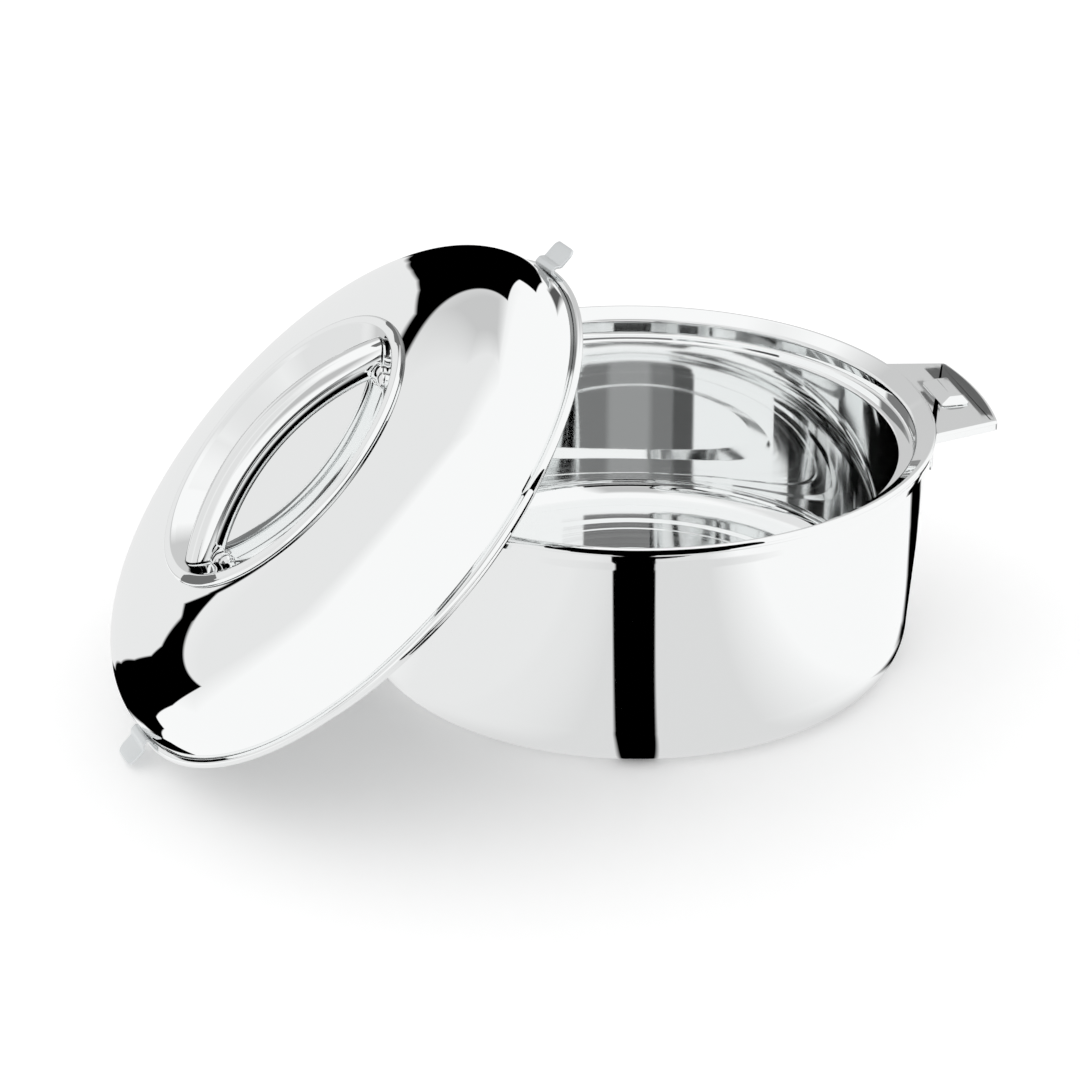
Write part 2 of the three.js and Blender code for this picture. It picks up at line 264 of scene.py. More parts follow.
class BowlSizes(bpy.types.PropertyGroup):
    """Sizes of the bowl's pot and shell."""

    lip_radius: length("Lip radius", "Outer edge of the pot's lip", 120)
    lip_height: length("Lip height", "Top of the pot's lip above the table", 99.1)
    ledge_height: length("Step height", "The step that takes the lid's ring", 88.7)
    floor_height: length("Floor height", "The pot's floor above the table", 17)
    wall_radius: length("Wall radius", "Inside of the pot under its step", 105.2)
    body_radius: length("Body radius", "Outside of the shell at its top", 117)
    foot_radius: length("Foot radius", "Outside of the shell over its rounded foot", 111.4)
    foot_rise: length("Foot rise", "Height of the shell's rounded foot", 17.4)


class HandleSizes(bpy.types.PropertyGroup):
    """Sizes of a handle and its catch."""

    reach: length("Reach", "Outer edge of the handle from the bowl's axis", 145.9)
    top: length("Top", "The plate's upper face above the table", 95.5)
    rim_depth: length("Rim depth", "How far the plate's rim is turned down", 4)
    corner: length("Corner radius", "Rounding of the handle's outer corners", 2.4)
    catch_start: length("Catch start", "Inner edge of the catch from the bowl's axis", 125.52)
    catch_length: length("Catch length", "Length of the catch away from the bowl", 11.58)
    catch_width: length("Catch width", "Width of the catch across the handle", 25)
    catch_height: length("Catch height", "Height of the catch above the plate", 3)


class LidSizes(bpy.types.PropertyGroup):
    """Sizes of the lid."""

    dome_radius: length("Dome radius", "Foot of the dome", 117.27)
    dome_rise: length("Dome rise", "Height of the dome's arch", 35.9)
    bead_radius: length("Bead radius", "Outer edge of the lid's bead", 120)
    ring_radius: length("Ring radius", "Outer edge of the dish's rolled ring", 63.5)
    dish_radius: length("Dish radius", "Flat bottom of the dish", 46)
    dish_height: length("Dish height", "The dish's bottom above the bead", 29.5)
    roof_height: length("Roof height", "The liner's roof above the bead", 22.3)
    plug_ring_radius: length("Ring radius below", "The ring that drops in the bowl", 110)
    plug_ring_depth: length("Ring depth", "How far that ring reaches down", 7.7)
    bar_radius: length("Bar radius", "Radius of the grab bar's tube", 7)
    bar_height: length("Bar height", "The bar's middle above the bead", 46.4)
    bar_end_height: length("Bar end height", "The bar's ends above the bead", 32)
    ear_width: length("Ear width", "Width of the two ears", 18)


class Finishes(bpy.types.PropertyGroup):
    """Colours and polish of the casserole's materials."""

    steel: colour("Steel", "Colour of the polished steel", (0.93, 0.94, 0.94, 1))
    polish: share("Polish", "Roughness of the mirror finish", 0.03)
    satin: colour("Satin steel", "Colour of the ears", (0.48, 0.49, 0.50, 1))
    plug: colour("Plug", "Colour of the two plugs", (0.035, 0.037, 0.04, 1))
    foam: colour("Foam", "Colour of the insulation", (0.78, 0.66, 0.36, 1))


class StudioSizes(bpy.types.PropertyGroup):
    """The floor and the camera."""

    floor_width: length("Floor width", "Side of the square floor", 12000)
    lens: FloatProperty(
        name="Lens",
        description="Focal length of the camera, on a sensor 36 mm wide",
        default=126.48,
        unit="CAMERA",
    )


# Materials

# How high the drawn sheet waves, how much duller the pot's floor is and over what height,
# and a height under which no piece lies
SHEET_WAVE = 0.2 * MM
DULLER = 3.0
DULL_EDGE = 4 * MM
NOWHERE_DULL = -1.0


def set_inputs(node, inputs):
    """Sets a node's inputs, by name or number. A socket is linked and the rest are values."""
    for key, value in inputs.items():
        if isinstance(value, bpy.types.NodeSocket):
            node.id_data.links.new(value, node.inputs[key])
        else:
            node.inputs[key].default_value = value


def new_material(name, base, metallic):
    """A node material, its node tree and its shader."""
    material = bpy.data.materials.new(name)
    material.use_nodes = True
    tree = material.node_tree
    shader = tree.nodes["Principled BSDF"]
    set_inputs(shader, {"Base Color": base, "Metallic": metallic})
    return material, tree, shader


def add_node(tree, kind, inputs=None, output=0, **settings):
    """Adds a shader node with its settings and inputs, and gives one of its outputs."""
    node = tree.nodes.new("ShaderNode" + kind)
    for key, value in settings.items():
        setattr(node, key, value)
    set_inputs(node, inputs or {})
    return node.outputs[output]


def own_place(tree):
    """The place in the piece's own frame, as add_piece kept it."""
    return add_node(tree, "Attribute", output="Vector", attribute_name="own_place")


def parts(tree, vector):
    """The three numbers of a vector."""
    return add_node(tree, "SeparateXYZ", {0: vector}).node.outputs


def noise(tree, place, scale, detail):
    """A noise from 0 to 1."""
    return add_node(tree, "TexNoise", {"Vector": place, "Scale": scale, "Detail": detail})


def raised(tree, height, strength, distance):
    """The normal of a surface that a pattern raises a little."""
    return add_node(tree, "Bump", {"Height": height, "Strength": strength, "Distance": distance})


def polished_steel(name, base, roughness, waves, turning, dull_floor):
    """Mirror steel: fine rings left by the polishing wheel as a change of roughness, a
    slight waviness of the drawn sheet as bump, both on the piece's own place. Under the
    height dull_floor the finish is duller."""
    material, tree, shader = new_material(name, base, 1.0)
    place = own_place(tree)
    x, y, z = parts(tree, place)
    flat = add_node(tree, "CombineXYZ", {"X": x, "Y": y})
    radius = add_node(tree, "VectorMath", {0: flat}, "Value", operation="LENGTH")
    rings = noise(tree, add_node(tree, "CombineXYZ", {"X": radius, "Y": z}), turning, 3.0)
    low, high = roughness * 0.6, roughness * 1.5
    spread = {"Value": rings, "From Min": 0.3, "From Max": 0.7, "To Min": low, "To Max": high}
    edge = {"From Min": dull_floor, "From Max": dull_floor + DULL_EDGE}
    dull = {"Value": z, **edge, "To Min": DULLER, "To Max": 1.0}
    finish = {0: add_node(tree, "MapRange", spread), 1: add_node(tree, "MapRange", dull)}
    roughness = add_node(tree, "Math", finish, operation="MULTIPLY")
    normal = raised(tree, noise(tree, place, 28.0, 1.0), waves, SHEET_WAVE)
    set_inputs(shader, {"Roughness": roughness, "Normal": normal})
    return material


def mirror_steel(name, base):
    """The lid's dome, buffed to a perfect mirror: only a slight waviness of the sheet."""
    material, tree, shader = new_material(name, base, 1.0)
    wave = noise(tree, own_place(tree), 16.0, 1.0)
    set_inputs(shader, {"Roughness": 0.0, "Normal": raised(tree, wave, 0.1, SHEET_WAVE)})
    return material


def satin_steel(name, base):
    """Duller steel of the ears: a fine grain drawn along the strip."""
    material, tree, shader = new_material(name, base, 1.0)
    stretch = {"Vector": own_place(tree), "Scale": (60, 900, 60)}
    grain = noise(tree, add_node(tree, "Mapping", stretch), 4.0, 3.0)
    roughness = add_node(tree, "MapRange", {"Value": grain, "To Min": 0.12, "To Max": 0.3})
    set_inputs(shader, {"Roughness": roughness, "Normal": raised(tree, grain, 0.15, 0.05 * MM)})
    return material


def grained(name, base, roughness, scale, depth):
    """Plastic or foam: its colour varies a little with a noise that also raises a grain."""
    material, tree, shader = new_material(name, base, 0.0)
    grain = noise(tree, add_node(tree, "TexCoord", output="Object"), scale, 4.0)
    dark, light = ([min(1, c * by) for c in base[:3]] + [1] for by in (0.82, 1.12))
    tones = {"Factor": grain, "A": dark, "B": light}
    tone = add_node(tree, "Mix", tones, "Result", data_type="RGBA")
    normal = raised(tree, grain, 0.4, depth)
    set_inputs(shader, {"Base Color": tone, "Roughness": roughness, "Normal": normal})
    return material


def get_material(name):
    """One of this object's materials, made when it is first asked for."""
    if name in bpy.data.materials:
        return bpy.data.materials[name]
    scene = bpy.context.scene
    finish = scene.casserole_finishes
    steel, polish = finish.steel, finish.polish
    if name == "satin_steel":
        return satin_steel(name, finish.satin)
    if name == "plug_plastic":
        return grained(name, finish.plug, 0.55, 900.0, 0.1 * MM)
    if name == "foam":
        return grained(name, finish.foam, 0.95, 400.0, 0.6 * MM)
    if name == "dome_steel":
        return mirror_steel(name, steel)
    if name == "pot_steel":
        dull_floor = scene.casserole_bowl.floor_height + 0.5 * MM
        return polished_steel(name, steel, polish, 0.25, 700.0, dull_floor)
    return polished_steel(name, steel, polish, 0.1, 400.0, NOWHERE_DULL)


# The bowl

# Radii of the two filling holes, how far the shell's foot rounds in and how deep the lip's
# hem is, all in millimetres
BASE_HOLE = 9
ROOF_HOLE = 7
FOOT_ROUND = 13.5
HEM_DEPTH = 3.3


class OuterShell(bpy.types.Operator):
    """Builds the bowl's outer shell: flat base with a hole, round foot, tapered wall, neck"""

    bl_idname = "casserole.outer_shell"
    bl_label = "Outer shell"

    def execute(self, context):
        """The wall is straight from the foot, a quarter of an ellipse, to the neck."""
        size = context.scene.casserole_bowl
        turn = np.linspace(0, math.pi / 2, 24)
        foot = size.foot_radius - FOOT_ROUND * MM * (1 - np.sin(turn))
        foot = foot + 1j * size.foot_rise * (1 - np.cos(turn))
        hole = complex(BASE_HOLE * MM, 0)
        body = size.body_radius / MM
        neck = body + 0.9
        above = rounded(
            (foot[-1].real / MM, foot[-1].imag / MM, 0),
            (body, 89, 3),
            (neck, 92.5, 3),
            (neck, 97.2, 0),
        )
        line = np.concatenate([[hole], leg(hole, foot[0]), foot[:-1], above])
        add_piece("outer_shell", turned(sheet_loop(line, SHEET)), "mirror_steel", "bowl")
        return {"FINISHED"}


class InnerPot(bpy.types.Operator):
    """Builds the inner pot: floor with a raised disc, wall, the lid's step, and flared lip"""

    bl_idname = "casserole.inner_pot"
    bl_label = "Inner pot"

    def execute(self, context):
        """One profile from the floor's middle to the hem under the lip."""
        size = context.scene.casserole_bowl
        floor, ledge = size.floor_height / MM, size.ledge_height / MM
        wall, lip, top = size.wall_radius / MM, size.lip_radius / MM, size.lip_height / MM
        disc, trough = floor + 1.2, floor - 0.5
        line = rounded(
            (0, disc, 0),
            (44.5, disc, 2),
            (52.5, trough, 2),
            (70.2, trough, 0.2),
            (70.9, floor - 0.6, 0.2),
            (71.6, trough, 0.2),
            (77, trough, 1.5),
            (80, floor, 1.5),
            (wall - 3.1, floor, 9),
            (wall, ledge, 1.4),
            (wall + 6.2, ledge, 1.4),
            (wall + 6.6, top - 3.9, 2.2),
            (lip, top + 1.15, 1.6),
            (lip, hem_bottom(top) + 0.3, 0.9),
            (lip - 1, hem_bottom(top), 0),
        )
        add_piece("inner_pot", turned(sheet_loop(line, -SHEET)), "pot_steel", "bowl")
        return {"FINISHED"}


def hem_bottom(top):
    """Lower edge of the lip's hem, in millimetres."""
    return top - HEM_DEPTH


def plug_shape(hole):
    """A round plug: a head with a small chamfer in the hole and a flange inside the sheet."""
    flange, thickness, gap = 2, 1.5, 0.3
    lining = SHEET / MM + gap
    line = rounded(
        (0, 0, 0),
        (hole - gap, 0, 0.4),
        (hole - gap, lining, 0.1),
        (hole + flange, lining, 0.1),
        (hole + flange, lining + thickness, 0.4),
        (0, lining + thickness, 0),
    )
    return turned(line, AROUND // 2)


class BasePlug(bpy.types.Operator):
    """Builds the plug that closes the hole in the bowl's base"""

    bl_idname = "casserole.base_plug"
    bl_label = "Base plug"

    def execute(self, context):
        """A turned plug, flush with the base."""
        add_piece("base_plug", plug_shape(BASE_HOLE), "plug_plastic", "bowl")
        return {"FINISHED"}


# Handles and catches

# Where a handle's side line starts and ends: radius of the root in millimetres, and the
# angles of root and tip in degrees from the handle's middle
ROOT_RADIUS = 118.5
ROOT_ANGLE = 18.7
TIP_ANGLE = 12.24
# Half the angle, in degrees, over which a handle's foot follows the shell
FOOT_ANGLE = 27


def handle_outline(reach, corner):
    """The handle's plan, from its root on the back side round the outer edge to the root on
    the front. The outer corner's centre lies on the side line moved in by the corner's
    radius, where its distance from the axis is the reach less that radius."""
    root = ROOT_RADIUS * MM * np.exp(1j * math.radians(ROOT_ANGLE))
    tip = reach * np.exp(1j * math.radians(TIP_ANGLE))
    along = unit(tip - root)
    inward = -1j * along
    start = root + inward * corner
    half = (start * along.conjugate()).real
    way = -half + math.sqrt(half * half - abs(start) ** 2 + (reach - corner) ** 2)
    centre = start + along * way
    turn = np.angle(unit(centre) / -inward)
    bend = centre - inward * corner * np.exp(1j * turn * np.linspace(0, 1, 10))
    first = math.atan2(centre.imag, centre.real)
    outer = reach * np.exp(1j * np.linspace(first, -first, 40)[1:-1])
    side = np.concatenate([[root], leg(root, bend[0]), bend])
    return np.concatenate([side, outer, side[::-1].conjugate()])


def handle_shape(size):
    """A plate with its rim turned down: the rim's section is carried round the plan, inset
    along the plan's normal. Its foot is a band that follows the shell."""
    outline = handle_outline(size.reach, size.corner)
    closed = np.concatenate([outline[-1:], outline, outline[:1]])
    step = unit(np.diff(closed))
    inward = -1j * unit(step[:-1] + step[1:])
    top, depth = size.top / MM, size.rim_depth / MM
    plate, flat = 1.2, 3.2
    section = rounded(
        (flat, top - plate, 0),
        (plate, top - plate, 0.4),
        (plate, top - depth, 0.3),
        (0, top - depth, 0.3),
        (0, top, 1.3),
        (flat, top, 0),
    )
    rings = outline[None, :] + inward[None, :] * section.real[:, None]
    angle = np.linspace(-FOOT_ANGLE, FOOT_ANGLE, 48)
    inner, outer, low, high = 118.4, 119.4, top - 7, top - 0.5
    band = rounded((inner, low, 0), (outer, low, 0.3), (outer, high, 0.3), (inner, high, 0))
    plan = band.real[None, :] * np.exp(1j * np.radians(angle))[:, None]
    height = np.repeat(band.imag[None, :], len(angle), 0)
    foot = capped(np.stack([plan.real, plan.imag, height], -1))
    return joined(outward(*stacked(rings, section.imag)), outward(*foot))


def add_pair(kind, shape):
    """A piece of each handle: the left one is the right one turned half round."""
    for side, turn in (("right", 0), ("left", math.pi)):
        place = Matrix.Rotation(turn, 4, "Z")
        add_piece(f"{kind}_{side}", shape, "mirror_steel", "bowl", place)


class Handles(bpy.types.Operator):
    """Builds the two handles, pressed plates with turned-down rims, and their weld feet"""

    bl_idname = "casserole.handles"
    bl_label = "Handles"

    def execute(self, context):
        """The right handle and the left one."""
        add_pair("handle", handle_shape(context.scene.casserole_handle))
        return {"FINISHED"}


def rounded_rectangle(half_x, half_y, radius, per_corner=8):
    """A plan outline: four straight sides joined by quarter circles."""
    corners = []
    for i, (sx, sy) in enumerate(((1, 1), (-1, 1), (-1, -1), (1, -1))):
        centre = complex(sx * (half_x - radius), sy * (half_y - radius))
        turn = math.pi / 2 * (i + np.linspace(0, 1, per_corner))
        corners.append(centre + radius * np.exp(1j * turn))
    return np.concatenate(corners)


def catch_shape(size):
    """A pressed block: rounded rectangles stacked up its slopes. Its section gives how far
    the inner side has drawn in; the outer side and the two ends draw in by shares of that."""
    bottom, top = size.top / MM + 0.3, (size.top + size.catch_height) / MM
    slope, outer_share, end_share, corner_share = 4.5, 0.45, 0.7, 0.2
    section = rounded((0, bottom, 0), (0, bottom + 0.4, 0.3), (slope, top, 2.2), (5.4, top, 0))
    rings = []
    for inset in section.real:
        start = size.catch_start + inset
        end = size.catch_start + size.catch_length - inset * outer_share
        half_y = size.catch_width / 2 - inset * end_share
        plan = rounded_rectangle((end - start) / 2, half_y, 1.6 * MM - inset * corner_share)
        rings.append((start + end) / 2 + plan)
    return stacked(rings, section.imag)


class Catches(bpy.types.Operator):
    """Builds the catch block on each handle"""

    bl_idname = "casserole.catches"
    bl_label = "Catches"

    def execute(self, context):
        """The right catch and the left one."""
        add_pair("catch", catch_shape(context.scene.casserole_handle))
        return {"FINISHED"}


# The lid

LID_TILT = math.radians(43.95)
LID_HEADING = math.radians(179.34)
LID_SPIN = math.radians(9)
# The two powers of the lid's arches, and the foot of the dome's arch above the bead
ARCH_POWERS = (2 / 5.2, 2 / 2.2)
DOME_FOOT = 1.85 * MM
# How far the dome reaches under the dish's ring
UNDER_RING = 4 * MM


def lid_place(spin=LID_SPIN):
    """The matrix from the lid's own frame to its leaning place. The liner's points are even
    round the lid's axis, so their mean lies on it, and the lowest of them along the axis is
    the ring's edge."""
    size = bpy.context.scene.casserole_lid
    turn = Matrix.Rotation(LID_HEADING, 4, "Z") @ Matrix.Rotation(LID_TILT, 4, "Y")
    axis = np.array(turn.to_3x3() @ Vector((0, 0, 1)))
    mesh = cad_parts["lid_liner"].data
    points = np.empty(len(mesh.vertices) * 3, np.float32)
    mesh.vertices.foreach_get("co", points)
    points = points.reshape(-1, 3).astype(float)
    middle = points.mean(0)
    height = (points @ axis).min() + size.plug_ring_depth
    centre = middle + axis * (height - middle @ axis)
    return Matrix.Translation(centre) @ turn @ Matrix.Rotation(spin, 4, "Z")


def dome_sizes(size):
    """The dome's arch: radius, foot, rise and the two powers."""
    return size.dome_radius, DOME_FOOT, size.dome_rise, *ARCH_POWERS


class LidDome(bpy.types.Operator):
    """Builds the lid's dome, an arch fuller than an ellipse with a hole for the dish"""

    bl_idname = "casserole.lid_dome"
    bl_label = "Dome"

    def execute(self, context):
        """The arch from the dish's hole down to the foot inside the hem."""
        size = context.scene.casserole_lid
        line = arch(dome_sizes(size), size.ring_radius - UNDER_RING, size.dome_radius, 90)
        foot = leg(line[-1], complex(size.dome_radius, 0))
        line = np.concatenate([line, foot, [complex(size.dome_radius, -0.2 * MM)]])
        shape = turned(sheet_loop(line, -SHEET))
        add_piece("lid_dome", shape, "dome_steel", "lid", lid_place())
        return {"FINISHED"}


def ring_seat(size):
    """Where the dish's rolled ring sits on the dome, in millimetres."""
    radius, foot, rise, side, top = dome_sizes(size)
    sine = ((size.ring_radius - SHEET) / radius) ** (1 / side)
    return (foot + rise * math.sqrt(1 - sine * sine) ** top) / MM + 0.3


def dish_line(size):
    """The dish's profile: flat bottom, slope, and the ring rolled over the hole's edge."""
    seat = ring_seat(size)
    ring, bottom, flat = size.ring_radius / MM, size.dish_height / MM, size.dish_radius / MM
    return rounded(
        (0, bottom, 0),
        (flat, bottom, 3.2),
        (ring - 5.9, seat + 0.4, 1.6),
        (ring - 4.2, seat + 1.75, 1.3),
        (ring - 0.4, seat + 1.65, 1.1),
        (ring, seat, 0),
    )


class LidDish(bpy.types.Operator):
    """Builds the dish pressed for the fingers, with its rolled ring"""

    bl_idname = "casserole.lid_dish"
    bl_label = "Dish"

    def execute(self, context):
        """One sheet from the dish's middle to the ring's outer edge."""
        shape = turned(sheet_loop(dish_line(context.scene.casserole_lid), -SHEET))
        add_piece("lid_dish", shape, "mirror_steel", "lid", lid_place())
        return {"FINISHED"}


class LidLiner(bpy.types.Operator):
    """Builds the lid's liner: roof, the ring that drops in the bowl, flange and rolled bead"""

    bl_idname = "casserole.lid_liner"
    bl_label = "Liner"

    def execute(self, context):
        """The roof's arch has the dome's two powers; the hem closes over the dome's foot."""
        size = context.scene.casserole_lid
        ring, depth = size.plug_ring_radius / MM, size.plug_ring_depth / MM
        bead, flange = size.bead_radius / MM, 1.3
        inner = ring - 3.4
        roof = (inner * MM, 0, size.roof_height, *ARCH_POWERS)
        line = arch(roof, ROOF_HOLE * MM, inner * MM, 80)
        line[0] = complex(ROOF_HOLE * MM, size.roof_height)
        below = rounded(
            (inner, 0, 0),
            (inner, -depth, 1.5),
            (ring, -depth, 1.5),
            (ring, -flange, 0.9),
            (bead, -flange, 1.4),
            (bead, 1.8, 1.3),
            (size.dome_radius / MM + 0.3, 1.8, 0),
        )
        shape = turned(sheet_loop(np.concatenate([line, below[1:]]), SHEET))
        add_piece("lid_liner", shape, "mirror_steel", "lid", lid_place())
        return {"FINISHED"}


class LidPlug(bpy.types.Operator):
    """Builds the plug that closes the hole in the liner's roof"""

    bl_idname = "casserole.lid_plug"
    bl_label = "Lid plug"

    def execute(self, context):
        """A turned plug, flush with the roof."""
        size = context.scene.casserole_lid
        place = lid_place() @ Matrix.Translation((0, 0, size.roof_height))
        add_piece("lid_plug", plug_shape(ROOF_HOLE), "plug_plastic", "lid", place)
        return {"FINISHED"}


# Half the bar's span. Lumps of weld at either end, in millimetres: place in the lid's frame
# and radius. They are flattened to a share of their height, and their skin is uneven by a
# share, in a wave of so many radians to the metre, across and upwards.
BAR_REACH = 52 * MM
WELD_LUMPS = ((46.5, 7.5, 4.4), (45.5, 13.0, 3.3))
WELD_HEIGHT = 0.75
WELD_UNEVEN = 0.12
WELD_WAVES = (900, 1400)


def bar_shape(size):
    """A bent tube with lumps of weld at its ends. Its middle line is the circle
    x = bow sin(t), z = top - bow + bow cos(t), and each line along it ends where it meets the
    dish's slope, found by halving."""
    reach = BAR_REACH
    rise = size.bar_height - size.bar_end_height
    bow = (reach * reach + rise * rise) / (2 * rise)
    line = dish_line(size)
    slope = beside(line[line.real > size.dish_radius + 1 * MM], 0.1 * MM)
    slope = slope[: np.argmax(slope.imag)]
    steep = (slope[-1].imag - slope[0].imag) / (slope[-1].real - slope[0].real)
    level = slope[0].imag - steep * slope[0].real
    sides, steps = 48, 120

    def tube(t, around, radius):
        """Points of the tube: t runs along it and around goes round it."""
        out = bow + radius * np.cos(around)
        x = out * np.sin(t)
        z = size.bar_height - bow + out * np.cos(t)
        return x, radius * np.sin(around) + 0 * t, z

    def skin(radius):
        """One face of the tube, from slope to slope."""
        around = np.linspace(0, 2 * math.pi, sides, endpoint=False)
        low, high = np.zeros(sides), np.full(sides, 1.4 * math.asin(reach / bow))
        for _ in range(40):
            middle = (low + high) / 2
            x, y, z = tube(middle, around, radius)
            clear = z > level + steep * np.hypot(x, y)
            low, high = np.where(clear, middle, low), np.where(clear, high, middle)
        t = low[None, :] * np.linspace(-1, 1, steps)[:, None]
        return np.stack(tube(t, around[None, :], radius), -1)

    grid = np.concatenate([skin(size.bar_radius), skin(size.bar_radius - 1 * MM)[::-1]])
    pieces = [(grid.reshape(-1, 3), [grid_faces(2 * steps, sides, True, True)])]
    for side in (1, -1):
        for x, y, radius in WELD_LUMPS:
            x, y, radius = side * x * MM, y * MM, radius * MM
            turn = np.linspace(-math.pi / 2, math.pi / 2, 24)
            half = radius * (np.cos(turn) + 1j * WELD_HEIGHT * np.sin(turn))
            points, faces = turned(half, 40)
            waves = points[:, :1] * WELD_WAVES[0] + points[:, 2:] * WELD_WAVES[1] + side
            points[:, :2] *= 1 + WELD_UNEVEN * np.sin(waves)
            points = points + (x, y, level + steep * math.hypot(x, y))
            pieces.append(outward(points, faces))
    return joined(*pieces)


class GrabBar(bpy.types.Operator):
    """Builds the grab bar, a bent tube welded across the dish"""

    bl_idname = "casserole.grab_bar"
    bl_label = "Grab bar"

    def execute(self, context):
        """The tube's ends are cut to the dish's slope."""
        shape = bar_shape(context.scene.casserole_lid)
        add_piece("grab_bar", shape, "mirror_steel", "lid", lid_place())
        return {"FINISHED"}


def ear_shape(size):
    """A flat strip with rounded edges carried along a bent line, narrowing to rounded
    corners at its tip by a quarter circle."""
    thick, corner, bend = 1.0 * MM, 3.0 * MM, 1.1
    foot = (size.dome_radius + 0.3 * MM) / MM + 0.5
    low, high = 3.1, 4.6
    line = rounded(
        (foot, 2.1, 0),
        (foot, high, bend),
        (foot + 2.7, high, bend),
        (foot + 4.2, low, bend),
        (foot + 12.2, low, 0),
    )
    way = np.concatenate([[0], np.cumsum(abs(np.diff(line)))])
    count = 90
    even = way[-1] - corner * (1 - np.sin(np.linspace(0, math.pi / 2, 12)))
    even = np.concatenate([np.linspace(0, even[0], count, endpoint=False), even])
    line = np.interp(even, way, line.real) + 1j * np.interp(even, way, line.imag)
    step = unit(np.diff(line))
    normal = 1j * np.concatenate([step[:1], unit(step[:-1] + step[1:]), step[-1:]])
    left = np.clip(corner - (way[-1] - even), 0, corner)
    half = size.ear_width / 2 - corner + np.sqrt(corner**2 - left**2)
    section = rounded_rectangle(1.0, thick / 2, 0.3 * MM, 5)
    across = np.sign(section.real) * (1 - abs(section.real))
    y = np.sign(section.real)[None, :] * half[:, None] - across[None, :]
    plan = line[:, None] + normal[:, None] * section.imag[None, :]
    return capped(np.stack([plan.real, y, plan.imag], -1))


class Ears(bpy.types.Operator):
    """Builds the lid's two ears, bent strips over the handles"""

    bl_idname = "casserole.ears"
    bl_label = "Ears"

    def execute(self, context):
        """The high ear is the low one turned half round the lid's axis."""
        shape = ear_shape(context.scene.casserole_lid)
        for name, turn in (("ear_low", 0), ("ear_high", math.pi)):
            add_piece(name, shape, "satin_steel", "lid", lid_place(LID_SPIN + turn))
        return {"FINISHED"}


class Foams(bpy.types.Operator):
    """Finishes the two insulation foams, hidden between the sheets"""

    bl_idname = "casserole.foams"
    bl_label = "Foams"

    def execute(self, context):
        """The nodes keep their shape and get the foam's material."""
        for name in ("bowl_foam", "lid_foam"):
            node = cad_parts[name]
            node.data.materials.clear()
            node.data.materials.append(get_material("foam"))
        return {"FINISHED"}


# The studio

# The camera: where it stands, where it looks and its right side
CAMERA_PLACE = (-0.37825, -1.3305, 0.7133)
CAMERA_FORWARD = (0.22258, 0.87247, -0.43506)
CAMERA_RIGHT = (0.96897, -0.24720, 0)
SENSOR_WIDTH = 36

FLOOR_COLOUR = (0.98, 0.98, 0.98, 1)
# Light that the floor adds to the camera's view of itself, so that it reads as white
FLOOR_LIFT = 0.12

# The rooms that the polished steel sees, white but for their screens. A screen is a tone, a
# share of white; the softness of its edge; and its corners anticlockwise, as azimuth and
# elevation in degrees. The dome is a perfect mirror and faces the black screens.
DOME_SCREENS = (
    (0.84, 18.0, ((80, 36), (110, 9), (158, -12), (172, 25), (150, 66), (100, 68))),
    (0.60, 9.0, ((84, 38), (110, 16), (112, 40), (98, 58))),
    (0.0, 0.6, ((58.8, 26.2), (60, 10), (67.5, -5), (76, -20), (90, -5), (82, 26.2))),
    (0.0, 0.6, ((70, 26.2), (76, -20), (113, 14.3), (113, 15), (82.5, 41))),
    (
        0.0,
        0.6,
        ((85, -30), (102.5, -45), (120, -43), (134.5, -38.8), (136, -31), (121.3, 8.7), (100, -10)),
    ),
    (0.0, 0.6, ((110, -30), (136, -31), (148.8, -18.8), (156, -4), (121.3, 8.7))),
    (
        0.86,
        0.6,
        ((78.5, -19.5), (82, -26), (85.5, -28.3), (102.5, -26), (115, -19), (123.8, -10), (128, -3))
        + ((127.5, 1), (121, 8), (108.8, 15.4), (104.5, 14.5), (101.5, 12.9), (96.9, 8.9))
        + ((90.7, 2.4), (84.1, -7)),
    ),
    (0.95, 1.5, ((86, -30.5), (88, -32.5), (100, -38), (112, -39.5), (110, -37), (97, -33))),
    (0.0, 0.3, ((120.5, 6.4), (125.8, 5.4), (124.9, 7.4), (121.3, 9.1), (120.5, 9.1))),
    (0.0, 0.3, ((120.4, 8.5), (121.2, 8.5), (121.1, 12), (120.3, 12))),
    (0.0, 0.6, ((100, -42), (102, -52), (114, -55), (119, -46), (116, -42))),
    (0.1, 2.0, ((46, 17), (57, -2), (61, -2), (56, 12))),
    (0.25, 1.5, ((60, 2), (68, -16), (70, -16), (64, 2))),
)
# The pot's lip, the handles, the dish and the bar see large grey screens.
GREY_SCREENS = (
    (0.62, 14.0, ((42, -40), (130, -40), (130, 44), (42, 44))),
    (0.80, 15.0, ((132, -30), (180, -30), (180, 62), (132, 62))),
    (0.80, 15.0, ((-180, -30), (-132, -30), (-132, 62), (-180, 62))),
    (0.55, 12.0, ((-125, 28), (-85, 28), (-85, 62), (-125, 62))),
    (0.84, 7.0, ((103, 0), (126, 0), (126, 21), (103, 21))),
    (0.2, 12.0, ((-85, -75), (25, -75), (25, -20), (-85, -20))),
)
